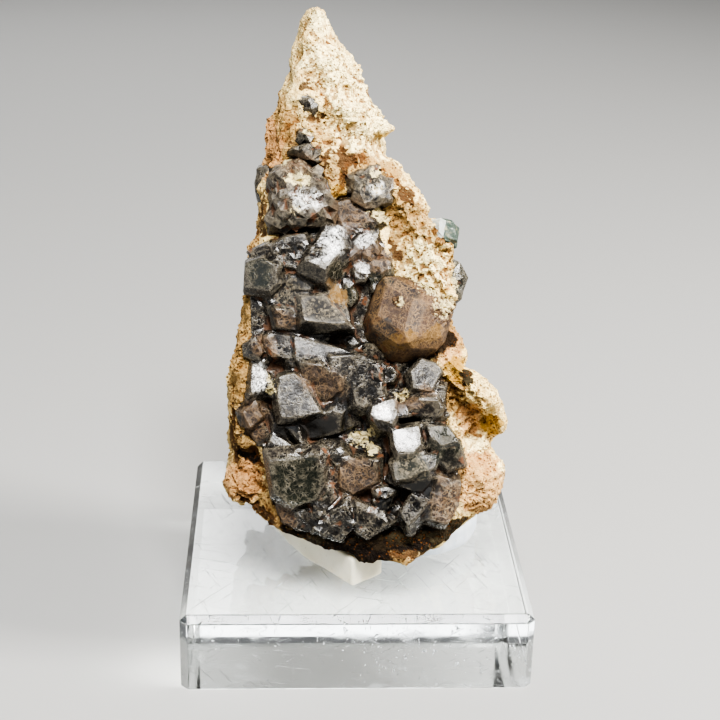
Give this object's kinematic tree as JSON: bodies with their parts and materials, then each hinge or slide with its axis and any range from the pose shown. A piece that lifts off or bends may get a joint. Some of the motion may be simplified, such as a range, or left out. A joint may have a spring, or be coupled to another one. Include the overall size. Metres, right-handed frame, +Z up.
{
  "type": "garnet in matrix specimen on display block",
  "caption": "Dark garnet crystals grown together on the face of a pale pointed rock, held with putty on a clear chamfered display block.",
  "frame": {"origin": "middle of the display block's underside", "axes": "+Z up, +X to the right seen from the front, -Y towards the front where the garnet face looks"},
  "size_m": [0.05, 0.05, 0.0888],
  "materials": {
    "clear_acrylic": "polished clear acrylic, lightly scratched",
    "cream_putty": "cream translucent museum putty, satin",
    "white_putty": "white pressed putty, satin",
    "matrix": "rough granular cream rock with orange-brown iron stain",
    "dark_garnet": "glossy near-black garnet faces with fine pale scratches",
    "brown_garnet": "semi-gloss brown garnet faces with dust in the scratches",
    "green_crystal": "glossy grey-green crystal with one white side"
  },
  "bodies": {
    "root": {"acrylic_block": "clear_acrylic", "cream_putty_strip": "cream_putty", "white_putty_disc": "white_putty", "matrix_rock": "matrix", "garnet_cluster": "dark_garnet", "round_garnet": "brown_garnet", "upper_garnet": "dark_garnet", "middle_garnet": "dark_garnet", "top_garnet": "dark_garnet", "small_top_garnet": "dark_garnet", "summit_garnet": "dark_garnet", "flank_garnet": "dark_garnet", "edge_garnet": "dark_garnet", "small_green_crystal": "green_crystal"}
  },
  "joints": []
}
